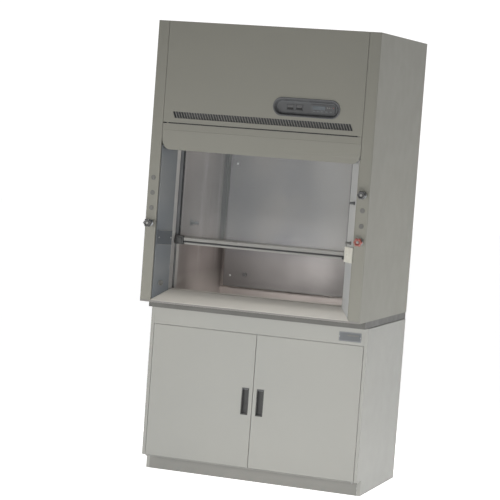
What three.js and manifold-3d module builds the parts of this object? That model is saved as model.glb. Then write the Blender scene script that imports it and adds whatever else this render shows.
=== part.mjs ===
// A 48 inch bench fume hood on a two-door base cabinet.
// Millimetres, +Z up, front at -Y, +X to the viewer's right. The origin is on the floor, under the
// middle of the whole object's box. Depths ("f") are measured back from the hood's front face.
import * as THREE from "three";
import { mergeVertices } from "three/addons/utils/BufferGeometryUtils.js";
import Module from "manifold-3d";

const wasm = await Module();
wasm.setup();

// ---- driving dimensions -------------------------------------------------------------------------
const WIDTH = 1219.2; // outside of the hood and the cabinet
const HOOD_D = 936; // hood depth, front face to back
const CAB_H = 895; // cabinet height, under the worktop
const TOP_T = 38; // worktop thickness
const HOOD_H = 1488; // hood height, above the worktop
const KNOB_OUT = 50; // how far the valve knobs stand out of the front
const SHEET = 2; // folded sheet thickness
const GAP = 0.3; // between touching pieces
const POST_W = 61.6; // front face of each corner post
const POST_RET = 18; // return of the post sheet behind its face
const CORNER_R = 7; // rounded front corners
const APRON_Z = 1746; // lower edge of the header apron
const APRON_R = [44, 62]; // its rounded lower corners, wide and high
const SPLIT_Z = [1883.5, 1889.5]; // reveal between the apron and the front panel
const CREASE_Z = 1841; // fold line across the apron
const APRON_LEAN = 6; // how far the apron's foot leans back
const JAMB_IN = 64; // each splayed jamb runs this far in
const JAMB_BACK = 85; // and this far back
const SILL_Z = 1003; // top of the airfoil sill
const SILL_BACK = 172;
const TRACK_F = [133, 168]; // the sash channel, front and back
const TRACK_END = 201;
const TRACK_DEEP = 24; // channel depth behind the wall face
const SASH_F = [139, 162]; // sash frame, front and back
const SASH_Z = [1247, 2016]; // sash at rest, part open
const HANDLE_H = 42;
const LINER_BACK = 890;
const LINER_TOP = 2290;
const BAFFLE_F = 810;
const BAFFLE_X = 440;
const BAFFLE_Z = [988, 1762];
const SLAB_F = 129; // worktop front edge
const DOOR_F = 185; // cabinet and door front
const KICK_F = 261; // toe-kick front
const DOOR_Z = [84, 799.5];
const DOOR_T = 20;
const SIDE_T = 19; // cabinet side thickness
const PIVOT = [8, 5]; // door pivot: in from its outer edge, back from its front
const PIN_R = 2.5;
const PIN_CLEAR = 0.06;
const VALVE_Z = [1352, 1432, 1512, 1592]; // the four service positions on each post
const DUCT_R = 127; // exhaust collar, outside radius
const DUCT_F = 640;
const PILL = { x: 239, z: 2013, len: 358, h: 92 }; // control recess in the front panel

const HW = WIDTH / 2;
const BENCH_Z = CAB_H + TOP_T;
const TOP_Z = BENCH_Z + HOOD_H;
const FRONT = -(HOOD_D + KNOB_OUT) / 2 + KNOB_OUT; // y of the hood's front face
const BACK = HOOD_D;
const POST_X = HW - POST_W; // inner edge of a post
const WALL_X = POST_X - JAMB_IN; // inner wall face
const VALVE_X = HW - POST_W / 2;

// ---- helpers ------------------------------------------------------------------------------------
const plain = (geo) => {
  const g = geo.clone();
  for (const name of Object.keys(g.attributes)) if (name !== "position") g.deleteAttribute(name);
  return mergeVertices(g, 1e-4);
};
const solid = (geo) => {
  const g = plain(geo);
  return new wasm.Manifold(
    new wasm.Mesh({
      numProp: 3,
      vertProperties: g.attributes.position.array,
      triVerts: new Uint32Array(g.index.array),
    }),
  );
};
const geometry = (made) => {
  const mesh = made.getMesh();
  const g = new THREE.BufferGeometry();
  const pos = new Float32Array(mesh.numVert * 3);
  for (let i = 0; i < mesh.numVert; i++)
    for (let k = 0; k < 3; k++) pos[3 * i + k] = mesh.vertProperties[i * mesh.numProp + k];
  g.setAttribute("position", new THREE.BufferAttribute(pos, 3));
  g.setIndex(new THREE.BufferAttribute(new Uint32Array(mesh.triVerts), 1));
  g.computeVertexNormals();
  return g;
};
const cut = (base, ...tools) =>
  geometry(tools.reduce((made, tool) => made.subtract(solid(tool)), solid(base)));
const join = (base, ...more) =>
  geometry(more.reduce((made, one) => made.add(solid(one)), solid(base)));

// A box from x, f (depth) and z limits.
const block = (x0, x1, f0, f1, z0, z1) =>
  new THREE.BoxGeometry(x1 - x0, f1 - f0, z1 - z0).translate(
    (x0 + x1) / 2,
    FRONT + (f0 + f1) / 2,
    (z0 + z1) / 2,
  );
const shape = (points) => new THREE.Shape(points.map(([a, b]) => new THREE.Vector2(a, b)));
const prism = (outline, depth, segments = 6) =>
  new THREE.ExtrudeGeometry(outline, { depth, bevelEnabled: false, curveSegments: segments });
// A plan outline (x, f) raised from z0 to z1.
const upright = (outline, z0, z1, segments) =>
  prism(outline, z1 - z0, segments).translate(0, FRONT, z0);
// A front outline (x, z) given depth from f0 to f1.
const facing = (outline, f0, f1, segments) =>
  prism(outline, f1 - f0, segments)
    .rotateX(Math.PI / 2)
    .translate(0, FRONT + f1, 0);
// A side outline (f, z) run across from x0 to x1.
const across = (outline, x0, x1, segments) =>
  prism(outline, x1 - x0, segments)
    .applyMatrix4(
      new THREE.Matrix4().makeBasis(
        new THREE.Vector3(0, 1, 0),
        new THREE.Vector3(0, 0, 1),
        new THREE.Vector3(1, 0, 0),
      ),
    )
    .translate(x0, FRONT, 0);
// A round bar along the depth, along x, or upright.
const barY = (r, x, f0, f1, z, n = 24) =>
  new THREE.CylinderGeometry(r, r, f1 - f0, n).translate(x, FRONT + (f0 + f1) / 2, z);
const barX = (r, x0, x1, f, z, n = 24) =>
  new THREE.CylinderGeometry(r, r, x1 - x0, n)
    .rotateZ(Math.PI / 2)
    .translate((x0 + x1) / 2, FRONT + f, z);
const barZ = (r, x, f, z0, z1, n = 24) =>
  new THREE.CylinderGeometry(r, r, z1 - z0, n)
    .rotateX(Math.PI / 2)
    .translate(x, FRONT + f, (z0 + z1) / 2);
const mirrored = (geo) => {
  const g = plain(geo);
  g.scale(-1, 1, 1);
  const idx = g.index.array;
  for (let i = 0; i < idx.length; i += 3) [idx[i + 1], idx[i + 2]] = [idx[i + 2], idx[i + 1]];
  g.computeVertexNormals();
  return g;
};
const rounded = (x0, x1, z0, z1, r) => {
  const s = new THREE.Shape();
  s.moveTo(x0 + r, z0);
  s.lineTo(x1 - r, z0);
  s.absarc(x1 - r, z0 + r, r, -Math.PI / 2, 0);
  s.lineTo(x1, z1 - r);
  s.absarc(x1 - r, z1 - r, r, 0, Math.PI / 2);
  s.lineTo(x0 + r, z1);
  s.absarc(x0 + r, z1 - r, r, Math.PI / 2, Math.PI);
  s.lineTo(x0, z0 + r);
  s.absarc(x0 + r, z0 + r, r, Math.PI, 1.5 * Math.PI);
  return s;
};

// ---- finishes -----------------------------------------------------------------------------------
const paint = (color, roughness, metalness = 0) =>
  new THREE.MeshStandardMaterial({ color, roughness, metalness });
const FINISH = {
  shell: paint(0xa9a79d, 0.45),
  cabinet: paint(0xb3b1a8, 0.45),
  shadow: paint(0x8f8d86, 0.6),
  worktop: paint(0x3a3b3a, 0.55),
  stainless: paint(0xa7a5a3, 0.32, 1),
  sill: paint(0xdedbd0, 0.35),
  dark: paint(0x1f2226, 0.45),
  handle: paint(0xcfcdc6, 0.3, 0.8),
  glass: new THREE.MeshStandardMaterial({
    color: 0xdfeae6,
    roughness: 0.05,
    transparent: true,
    opacity: 0.18,
  }),
  black: paint(0x17181a, 0.4),
  red: paint(0xa32a22, 0.4),
  cream: paint(0xe9e4d3, 0.4),
  steel: paint(0x77797b, 0.5, 1),
  lamp: paint(0xf1f2ee, 0.3),
};

const group = new THREE.Group();
const put = (name, geo, finish, parent = group) => {
  const mesh = new THREE.Mesh(geo, finish);
  mesh.name = name;
  parent.add(mesh);
  return mesh;
};
const pair = (left, right, geo, finish) => {
  put(left, geo, finish);
  put(right, mirrored(geo), finish);
};

// ---- base cabinet -------------------------------------------------------------------------------
const INNER = HW - SIDE_T - GAP;
const sideOutline = shape([
  [DOOR_F, DOOR_Z[0] - 1],
  [KICK_F, DOOR_Z[0] - 1],
  [KICK_F, 0],
  [BACK, 0],
  [BACK, CAB_H - GAP],
  [DOOR_F, CAB_H - GAP],
]);
// Each side is a folded double skin, open at the top.
const sideHollow = shape([
  [DOOR_F + SHEET, DOOR_Z[0] + 1],
  [KICK_F + SHEET, DOOR_Z[0] + 1],
  [KICK_F + SHEET, SHEET],
  [BACK - SHEET, SHEET],
  [BACK - SHEET, CAB_H + 5],
  [DOOR_F + SHEET, CAB_H + 5],
]);
pair(
  "cabinet_left_side",
  "cabinet_right_side",
  cut(
    across(sideOutline, -HW, -HW + SIDE_T),
    across(sideHollow, -HW + SHEET, -HW + SIDE_T - SHEET),
  ),
  FINISH.cabinet,
);
put("cabinet_back", block(-INNER, INNER, BACK - 3, BACK, 0, CAB_H - GAP), FINISH.cabinet);
const FLOOR_Z = [DOOR_Z[0] - 5, DOOR_Z[0] - 2];
const hingeX = HW - SIDE_T - 2 - PIVOT[0];
const hingeF = DOOR_F + PIVOT[1];
const RAIL_Z = DOOR_Z[1] + 2;
const pinHole = (x, z0, z1, clear) => barZ(PIN_R + clear, x, hingeF, z0, z1, 32);
put(
  "cabinet_floor",
  cut(
    block(-INNER, INNER, DOOR_F + 1, BACK - 3 - GAP, ...FLOOR_Z),
    ...[-1, 1].map((s) => pinHole(s * hingeX, DOOR_Z[0] - 14, DOOR_Z[0] + 5, GAP)),
  ),
  FINISH.cabinet,
);
put(
  "cabinet_top_rail",
  cut(
    block(-INNER, INNER, DOOR_F, DOOR_F + 24, RAIL_Z, CAB_H - GAP),
    block(-INNER + 2, INNER - 2, DOOR_F + SHEET, DOOR_F + 30, RAIL_Z + SHEET, CAB_H - 2.3),
    ...[-1, 1].map((s) => pinHole(s * hingeX, RAIL_Z - 5, RAIL_Z + 14, GAP)),
  ),
  FINISH.cabinet,
);
put(
  "cabinet_rear_rail",
  block(-INNER, INNER, BACK - 7, BACK - 3 - GAP, RAIL_Z, CAB_H - GAP),
  FINISH.cabinet,
);
put(
  "cabinet_plinth",
  block(-INNER, INNER, KICK_F, KICK_F + SHEET, 0, FLOOR_Z[0] - GAP),
  FINISH.shadow,
);
put(
  "cabinet_shelf",
  cut(
    block(-INNER, INNER, 240, BACK - 6, 440, 460),
    block(-INNER - 5, INNER + 5, 240 + SHEET, BACK - 6 - SHEET, 430, 460 - SHEET),
  ),
  FINISH.cabinet,
);
put(
  "nameplate_blank",
  facing(rounded(452, 574, 817, 867, 5), DOOR_F - 1.8, DOOR_F - GAP, 3),
  FINISH.dark,
);

// Doors are hollow pans that hang on pivot pins at their outer edges. Each has a recessed pull
// by the meeting line.
const PULL = { in: 22, w: 40, z0: 366, z1: 511, deep: 15 };
const doorBox = (wall) =>
  block(
    -(HW - SIDE_T - 2) + wall,
    -1.5 - wall,
    DOOR_F + wall,
    DOOR_F + DOOR_T - wall,
    DOOR_Z[0] + wall,
    DOOR_Z[1] - wall,
  );
const door = cut(
  doorBox(0),
  doorBox(SHEET),
  block(-PULL.in - PULL.w, -PULL.in, DOOR_F - 1, DOOR_F + PULL.deep, PULL.z0, PULL.z1),
  pinHole(-hingeX, DOOR_Z[0] - 1, DOOR_Z[0] + 14, PIN_CLEAR),
  pinHole(-hingeX, DOOR_Z[1] - 14, DOOR_Z[1] + 1, PIN_CLEAR),
);
pair("left_door", "right_door", door, FINISH.cabinet);
const pull = cut(
  block(
    -PULL.in - PULL.w + GAP,
    -PULL.in - GAP,
    DOOR_F - 1.5,
    DOOR_F + PULL.deep - GAP,
    PULL.z0 + GAP,
    PULL.z1 - GAP,
  ),
  block(-PULL.in - PULL.w + 6, -PULL.in - 6, DOOR_F - 3, DOOR_F + 11, PULL.z0 + 8, PULL.z1 - 8),
);
pair("left_door_pull", "right_door_pull", pull, FINISH.dark);
pair(
  "left_pivot_lower",
  "right_pivot_lower",
  barZ(PIN_R, -hingeX, hingeF, FLOOR_Z[0] - 4, DOOR_Z[0] + 13.5, 32),
  FINISH.steel,
);
pair(
  "left_pivot_upper",
  "right_pivot_upper",
  barZ(PIN_R, -hingeX, hingeF, DOOR_Z[1] - 13.5, RAIL_Z + 13.5, 32),
  FINISH.steel,
);

// ---- worktop ------------------------------------------------------------------------------------
put(
  "work_surface",
  block(-HW + 3, HW - 3, SLAB_F, BACK, CAB_H, BENCH_Z - GAP),
  FINISH.worktop,
);

// ---- hood shell ---------------------------------------------------------------------------------
// One folded sheet makes the side, the rounded corner, the post face and its return.
const sideSheet = new THREE.Shape();
sideSheet.moveTo(-HW, BACK);
sideSheet.lineTo(-HW, CORNER_R);
sideSheet.absarc(-HW + CORNER_R, CORNER_R, CORNER_R, Math.PI, 1.5 * Math.PI);
sideSheet.lineTo(-POST_X, 0);
sideSheet.lineTo(-POST_X, POST_RET);
sideSheet.lineTo(-POST_X - SHEET, POST_RET);
sideSheet.lineTo(-POST_X - SHEET, SHEET);
sideSheet.lineTo(-HW + CORNER_R, SHEET);
sideSheet.absarc(-HW + CORNER_R, CORNER_R, CORNER_R - SHEET, 1.5 * Math.PI, Math.PI, true);
sideSheet.lineTo(-HW + SHEET, BACK);
const STEM_R = 5;
const hoodSide = (valves) =>
  cut(
    upright(sideSheet, BENCH_Z, TOP_Z, 4),
    ...valves.map((z) => barY(STEM_R + GAP, -VALVE_X, -5, 10, z, 16)),
  );
put("left_side_panel", hoodSide([VALVE_Z[0]]), FINISH.shell);
put("right_side_panel", mirrored(hoodSide([VALVE_Z[0], VALVE_Z[3]])), FINISH.shell);
const SHELL_X = HW - SHEET - GAP;
put("back_panel", block(-SHELL_X, SHELL_X, BACK - SHEET, BACK, BENCH_Z, TOP_Z), FINISH.shell);
put(
  "roof_panel",
  cut(
    block(-SHELL_X, SHELL_X, POST_RET + 2, BACK - SHEET - GAP, TOP_Z - SHEET, TOP_Z),
    barZ(DUCT_R + GAP, 0, DUCT_F, TOP_Z - 10, TOP_Z + 10, 32),
  ),
  FINISH.shell,
);
const duct = [
  [DUCT_R - 2, LINER_TOP - 20],
  [DUCT_R, LINER_TOP - 20],
  [DUCT_R, TOP_Z + 20],
  [DUCT_R - 2, TOP_Z + 20],
  [DUCT_R - 2, LINER_TOP - 20],
].map(([r, z]) => new THREE.Vector2(r, z));
put(
  "exhaust_collar",
  new THREE.LatheGeometry(duct, 32).rotateX(Math.PI / 2).translate(0, FRONT + DUCT_F, 0),
  FINISH.steel,
);

// Front panel between the posts, with a long slant-ended opening and the control recess.
const PANEL_X = POST_X - 2;
const pillShape = (grow, n = 10) => {
  const r = PILL.h / 2 + grow;
  const half = PILL.len / 2 - PILL.h / 2;
  const points = [];
  for (let side = 0; side < 2; side++)
    for (let i = 0; i <= n; i++) {
      const a = -Math.PI / 2 + side * Math.PI + (i / n) * Math.PI;
      points.push([PILL.x + (side ? -half : half) + r * Math.cos(a), PILL.z + r * Math.sin(a)]);
    }
  return points;
};
const GRILLE = { x0: -497, x1: 482, z0: 1913, z1: 1948, lean: 15 };
const slant = (x0, x1, z0, z1, lean) =>
  shape([
    [x0 + lean, z0],
    [x1 + lean, z0],
    [x1, z1],
    [x0, z1],
  ]);
put(
  "front_panel",
  cut(
    block(-PANEL_X, PANEL_X, 0, SHEET, SPLIT_Z[1], TOP_Z),
    facing(slant(GRILLE.x0, GRILLE.x1, GRILLE.z0, GRILLE.z1, GRILLE.lean), -5, 10),
    facing(shape(pillShape(0)), -5, 10),
  ),
  FINISH.shell,
);
const slots = [];
const SLOT_N = 66;
const SLOT_PITCH = (GRILLE.x1 - GRILLE.x0) / SLOT_N;
for (let i = 0; i < SLOT_N; i++) {
  const x = GRILLE.x0 + 2 + i * SLOT_PITCH;
  slots.push(
    facing(
      slant(x, x + SLOT_PITCH - 4, GRILLE.z0 + 1, GRILLE.z1 - 1, GRILLE.lean * 0.94),
      -5,
      15,
    ),
  );
}
put(
  "bypass_grille",
  cut(block(GRILLE.x0 - 8, GRILLE.x1 + 24, SHEET + GAP, SHEET + 3.5, 1905, 1956), ...slots),
  FINISH.dark,
);

// Header apron: folded across, with rounded lower corners and two small lift tabs.
const apronFold = shape([
  [0, SPLIT_Z[0]],
  [0, CREASE_Z],
  [APRON_LEAN, APRON_Z],
  [APRON_LEAN + 16, APRON_Z],
  [APRON_LEAN + 16, APRON_Z + SHEET],
  [APRON_LEAN + SHEET, APRON_Z + SHEET],
  [SHEET, CREASE_Z],
  [SHEET, SPLIT_Z[0]],
]);
const apronFace = new THREE.Shape();
apronFace.moveTo(-PANEL_X, SPLIT_Z[0] + 10);
apronFace.lineTo(-PANEL_X, APRON_Z + APRON_R[1]);
apronFace.absellipse(
  -PANEL_X + APRON_R[0],
  APRON_Z + APRON_R[1],
  APRON_R[0],
  APRON_R[1],
  Math.PI,
  1.5 * Math.PI,
);
apronFace.lineTo(PANEL_X - APRON_R[0], APRON_Z);
apronFace.absellipse(
  PANEL_X - APRON_R[0],
  APRON_Z + APRON_R[1],
  APRON_R[0],
  APRON_R[1],
  1.5 * Math.PI,
  2 * Math.PI,
);
apronFace.lineTo(PANEL_X, SPLIT_Z[0] + 10);
const apron = solid(across(apronFold, -PANEL_X, PANEL_X))
  .intersect(solid(facing(apronFace, -20, 60, 10)))
  .add(solid(block(-524, -516, 0, SHEET, SPLIT_Z[0] - 2, SPLIT_Z[1] - GAP)))
  .add(solid(block(528, POST_X - 4, 0, SHEET, SPLIT_Z[0] - 2, SPLIT_Z[1] - GAP)));
put("header_apron", geometry(apron), FINISH.shell);

// ---- sash opening: splayed jambs, side channels, airfoil sill -----------------------------------
const JAMB_Z = [SILL_Z + 2, LINER_TOP];
const jambSheet = shape([
  [-POST_X + 7.5, 9.5],
  [-WALL_X - GAP, JAMB_BACK - 1],
  [-WALL_X - GAP - SHEET, JAMB_BACK - 1],
  [-POST_X + 7.5 - SHEET, 12],
]);
const sillSlope = (f) => BENCH_Z + 12 + ((SILL_Z - BENCH_Z - 12) * f) / 90;
const jambFoot = across(
  shape([
    [-20, BENCH_Z - 10],
    [120, BENCH_Z - 10],
    [120, sillSlope(90) + 1],
    [90, sillSlope(90) + 1],
    [-20, sillSlope(-20) + 1],
  ]),
  -HW,
  HW,
);
const OUTLET = { z: 1278, w: 96, h: 78, along: 0.52 }; // plate centre height and size
pair("left_jamb", "right_jamb", cut(upright(jambSheet, BENCH_Z, JAMB_Z[1]), jambFoot), FINISH.stainless);

const trackOutline = shape([
  [-WALL_X, JAMB_BACK + GAP],
  [-WALL_X, TRACK_F[0]],
  [-WALL_X - TRACK_DEEP, TRACK_F[0]],
  [-WALL_X - TRACK_DEEP, TRACK_F[1]],
  [-WALL_X, TRACK_F[1]],
  [-WALL_X, TRACK_END],
  [-WALL_X - SHEET, TRACK_END],
  [-WALL_X - SHEET, TRACK_F[1] + SHEET],
  [-WALL_X - TRACK_DEEP - SHEET, TRACK_F[1] + SHEET],
  [-WALL_X - TRACK_DEEP - SHEET, TRACK_F[0] - SHEET],
  [-WALL_X - SHEET, TRACK_F[0] - SHEET],
  [-WALL_X - SHEET, JAMB_BACK + GAP],
]);
pair(
  "left_track",
  "right_track",
  upright(trackOutline, SILL_Z + GAP, TOP_Z - SHEET - GAP),
  FINISH.stainless,
);

// The sill is one folded sheet: base, front lip, rising face, flat landing and a rear hem.
const sillFold = shape([
  [0, BENCH_Z],
  [SILL_BACK, BENCH_Z],
  [SILL_BACK, BENCH_Z + SHEET],
  [SHEET, BENCH_Z + SHEET],
  [SHEET, sillSlope(0) - 1],
  [92, SILL_Z - SHEET],
  [SILL_BACK - SHEET, SILL_Z - SHEET],
  [SILL_BACK - SHEET, SILL_Z - 22],
  [SILL_BACK, SILL_Z - 22],
  [SILL_BACK, SILL_Z],
  [90, SILL_Z],
  [0, sillSlope(0)],
]);
const sillPlan = shape([
  [-POST_X + 1, -1],
  [POST_X - 1, -1],
  [POST_X - 1, 4],
  [WALL_X + 1, JAMB_BACK + 1],
  [WALL_X + 24, JAMB_BACK + 1],
  [WALL_X + 24, SILL_BACK + 1],
  [-WALL_X - 24, SILL_BACK + 1],
  [-WALL_X - 24, JAMB_BACK + 1],
  [-WALL_X - 1, JAMB_BACK + 1],
  [-POST_X + 1, 4],
]);
put(
  "airfoil_sill",
  geometry(
    solid(across(sillFold, -HW, HW))
      .intersect(solid(upright(sillPlan, BENCH_Z - 5, SILL_Z + 5)))
      .add(
        solid(
          block(
            -SHELL_X,
            SHELL_X,
            POST_RET + 1,
            SILL_BACK,
            BENCH_Z,
            BENCH_Z + SHEET,
          ),
        ),
      ),
  ),
  FINISH.sill,
);

// ---- lined chamber ------------------------------------------------------------------------------
const NOZZLE = { f: 356, z: 1352 };
const liner = (holes) =>
  cut(
    block(-WALL_X - SHEET, -WALL_X, TRACK_END + GAP, LINER_BACK, BENCH_Z, LINER_TOP),
    ...holes.map((z) => barX(7 + GAP, -WALL_X - 9, -WALL_X + 5, NOZZLE.f, z, 16)),
  );
put("left_liner", liner([NOZZLE.z]), FINISH.stainless);
put("right_liner", mirrored(liner([])), FINISH.stainless);
put(
  "back_liner",
  block(-WALL_X, WALL_X, LINER_BACK - SHEET, LINER_BACK, BENCH_Z, LINER_TOP),
  FINISH.stainless,
);
const LAMP = { x: 300, f0: 250, f1: 400 };
put(
  "chamber_roof",
  cut(
    block(-WALL_X, WALL_X, TRACK_END + GAP, LINER_BACK, LINER_TOP + GAP, LINER_TOP + SHEET + GAP),
    block(-LAMP.x, LAMP.x, LAMP.f0, LAMP.f1, LINER_TOP - 5, LINER_TOP + 9),
    barZ(DUCT_R + GAP, 0, DUCT_F, LINER_TOP - 9, LINER_TOP + 9, 32),
  ),
  FINISH.stainless,
);
// Vertical baffle on four stand-offs, and the sloping one above it.
const standoffs = [-1, 1].flatMap((s) =>
  [BAFFLE_Z[0] + 60, BAFFLE_Z[1] - 80].map((z) =>
    block(
      s * 400 - 10,
      s * 400 + 10,
      BAFFLE_F + 1,
      LINER_BACK - SHEET - GAP,
      z - 10,
      z + 10,
    ),
  ),
);
const BK = { x: -310, z: 1061 }; // adjusting knob low on the baffle
put(
  "lower_baffle",
  geometry(
    standoffs
      .reduce(
        (made, one) => made.add(solid(one)),
        solid(block(-BAFFLE_X, BAFFLE_X, BAFFLE_F, BAFFLE_F + SHEET, ...BAFFLE_Z)),
      )
      .subtract(solid(barY(4 + PIN_CLEAR, BK.x, BAFFLE_F - 5, BAFFLE_F + 9, BK.z, 32))),
  ),
  FINISH.stainless,
);
put(
  "upper_baffle",
  across(
    shape([
      [BAFFLE_F, BAFFLE_Z[1] + 14],
      [BAFFLE_F + SHEET, BAFFLE_Z[1] + 14],
      [BAFFLE_F + SHEET, BAFFLE_Z[1] + 40],
      [484, LINER_TOP],
      [480, LINER_TOP],
      [BAFFLE_F, BAFFLE_Z[1] + 39],
    ]),
    -WALL_X + GAP,
    WALL_X - GAP,
  ),
  FINISH.stainless,
);
// The knob turns on its own shaft through the baffle, with a collar behind.
put(
  "baffle_knob",
  join(
    barY(11, BK.x, BAFFLE_F - 20, BAFFLE_F - 0.5, BK.z, 12),
    barY(4, BK.x, BAFFLE_F - 1, BAFFLE_F + 14, BK.z, 32),
    barY(8, BK.x, BAFFLE_F + SHEET + 0.5, BAFFLE_F + 10, BK.z, 12),
  ),
  FINISH.black,
);

// Light over the chamber: housing above the roof, a clear cover in it and a tube.
put(
  "lamp_housing",
  cut(
    block(
      -LAMP.x - 12,
      LAMP.x + 12,
      LAMP.f0 - 12,
      LAMP.f1 + 12,
      LINER_TOP + SHEET + 2 * GAP,
      LINER_TOP + 70,
    ),
    block(-LAMP.x, LAMP.x, LAMP.f0, LAMP.f1, LINER_TOP - 5, LINER_TOP + 68),
  ),
  FINISH.shell,
);
put(
  "lamp_cover",
  block(
    -LAMP.x + GAP,
    LAMP.x - GAP,
    LAMP.f0 + GAP,
    LAMP.f1 - GAP,
    LINER_TOP,
    LINER_TOP + 5,
  ),
  FINISH.glass,
);
put(
  "lamp_tube",
  barX(13, -LAMP.x + GAP, LAMP.x - GAP, (LAMP.f0 + LAMP.f1) / 2, LINER_TOP + 40, 16),
  FINISH.lamp,
);

// ---- sash ---------------------------------------------------------------------------------------
const sash = new THREE.Group();
group.add(sash);
const STILE = [WALL_X - 14, WALL_X + TRACK_DEEP - 3];
const GLASS_F = [147, 153];
const GLASS_X = STILE[0] + 6;
const glassBox = (g) =>
  block(
    -GLASS_X - g,
    GLASS_X + g,
    GLASS_F[0] - g,
    GLASS_F[1] + g,
    SASH_Z[0] + 10 - g,
    SASH_Z[1] - 10 + g,
  );
put(
  "sash_frame",
  geometry(
    solid(block(-STILE[1], STILE[1], ...SASH_F, SASH_Z[0] + HANDLE_H + GAP, SASH_Z[1]))
      .subtract(
        solid(block(-STILE[0], STILE[0], SASH_F[0] - 5, SASH_F[1] + 5, 1000, SASH_Z[1] - 24)),
      )
      .subtract(solid(glassBox(GAP))),
  ),
  FINISH.dark,
  sash,
);
put("sash_glass", glassBox(0), FINISH.glass, sash);
// The handle is one rail across the sash: a finger lip, a groove and a lower lip.
const HX = WALL_X - 5;
const handleRail = across(
  shape([
    [SASH_F[0] - 22, SASH_Z[0] + 20],
    [SASH_F[0] - 19, SASH_Z[0] + 17],
    [SASH_F[0] - 6, SASH_Z[0] + 17],
    [SASH_F[0] - 6, SASH_Z[0] + 12],
    [SASH_F[0] - 13, SASH_Z[0] + 12],
    [SASH_F[0] - 15, SASH_Z[0] + 10],
    [SASH_F[0] - 15, SASH_Z[0]],
    [SASH_F[1], SASH_Z[0]],
    [SASH_F[1], SASH_Z[0] + HANDLE_H],
    [SASH_F[0] - 8, SASH_Z[0] + HANDLE_H],
    [SASH_F[0] - 22, SASH_Z[0] + HANDLE_H - 6],
  ]),
  -HX,
  HX,
);
put("sash_handle", cut(handleRail, glassBox(GAP)), FINISH.handle, sash);
// Counterweight in the rear space, as heavy as the sash and going the other way.
put("counterweight", block(-280, 280, 900, 926, 1640, 1800), FINISH.steel);

// ---- controls in the front panel ----------------------------------------------------------------
const loft = (rings) => {
  const n = rings[0].points.length;
  const pos = [];
  for (const ring of rings) for (const [x, z] of ring.points) pos.push(x, FRONT + ring.f, z);
  const idx = [];
  for (let k = 0; k + 1 < rings.length; k++)
    for (let i = 0; i < n; i++) {
      const a = k * n + i;
      const b = k * n + ((i + 1) % n);
      idx.push(a, b, b + n, a, b + n, a + n);
    }
  for (let i = 1; i + 1 < n; i++) {
    idx.push(0, i + 1, i);
    const last = (rings.length - 1) * n;
    idx.push(last, last + i, last + i + 1);
  }
  for (let i = 0; i < idx.length; i += 3) [idx[i + 1], idx[i + 2]] = [idx[i + 2], idx[i + 1]];
  const g = new THREE.BufferGeometry();
  g.setAttribute("position", new THREE.Float32BufferAttribute(pos, 3));
  g.setIndex(idx);
  return g;
};
const pillSolid = (levels) => loft(levels.map(([f, grow]) => ({ f, points: pillShape(grow) })));
put(
  "control_bezel",
  cut(
    pillSolid([
      [-1.5, -1.5],
      [0.5, -GAP],
      [22, -GAP],
    ]),
    pillSolid([
      [-3, -4],
      [16, -15],
    ]),
    ...[60, 108].map((dx) => block(PILL.x - 170 + dx, PILL.x - 134 + dx, 10, 30, 1999, 2025)),
    block(PILL.x + 20, PILL.x + 150, 10, 30, 1992, 2034),
  ),
  FINISH.dark,
);
put(
  "airflow_monitor",
  block(PILL.x + 20 + GAP, PILL.x + 150 - GAP, 12, 30, 1992 + GAP, 2034 - GAP),
  FINISH.dark,
);
const rocker = (x) =>
  across(
    shape([
      [21, 2002],
      [21, 2022],
      [13, 2022],
      [16.5, 2012],
      [11, 2002],
    ]),
    x - 15,
    x + 15,
  );
put("blower_switch", rocker(PILL.x - 170 + 60 + 18), FINISH.black);
put("light_switch", rocker(PILL.x - 170 + 108 + 18), FINISH.black);

// ---- service fittings ---------------------------------------------------------------------------
// Each valve: an escutcheon and stem fixed through the post face, and a knob that turns on it.
const knobShape = () => {
  const s = new THREE.Shape();
  const lobes = 6;
  for (let i = 0; i < 48; i++) {
    const a = (i / 48) * 2 * Math.PI;
    const r = 21 + 2 * Math.cos(lobes * a);
    const p = [r * Math.cos(a), r * Math.sin(a)];
    if (i) s.lineTo(...p);
    else s.moveTo(...p);
  }
  s.closePath();
  return s;
};
const KNOB_F = [-KNOB_OUT, -22];
const valve = (name, x, z, finish) => {
  put(
    `${name}_valve`,
    join(
      barY(15, x, -5, -GAP, z, 20),
      barY(STEM_R, x, -34, 60, z, 32),
      barY(10, x, -19, -3, z, 12),
      barY(14, x, 20, 56, z, 8),
    ),
    FINISH.steel,
  );
  const body = cut(
    prism(knobShape(), KNOB_F[1] - KNOB_F[0])
      .rotateX(Math.PI / 2)
      .translate(x, FRONT + KNOB_F[1], z),
    barY(STEM_R + PIN_CLEAR, x, -36, 0, z, 32),
  );
  put(`${name}_knob`, body, finish);
};
valve("left", -VALVE_X, VALVE_Z[0], FINISH.black);
valve("upper_right", VALVE_X, VALVE_Z[3], FINISH.black);
valve("lower_right", VALVE_X, VALVE_Z[0], FINISH.red);
put(
  "left_nozzle",
  join(
    barX(16, -WALL_X + GAP, -WALL_X + 6, NOZZLE.f, NOZZLE.z, 20),
    barX(7, -WALL_X - 30, -WALL_X + 44, NOZZLE.f, NOZZLE.z, 16),
    barX(10, -WALL_X + 5, -WALL_X + 18, NOZZLE.f, NOZZLE.z, 6),
  ),
  FINISH.dark,
);

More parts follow.
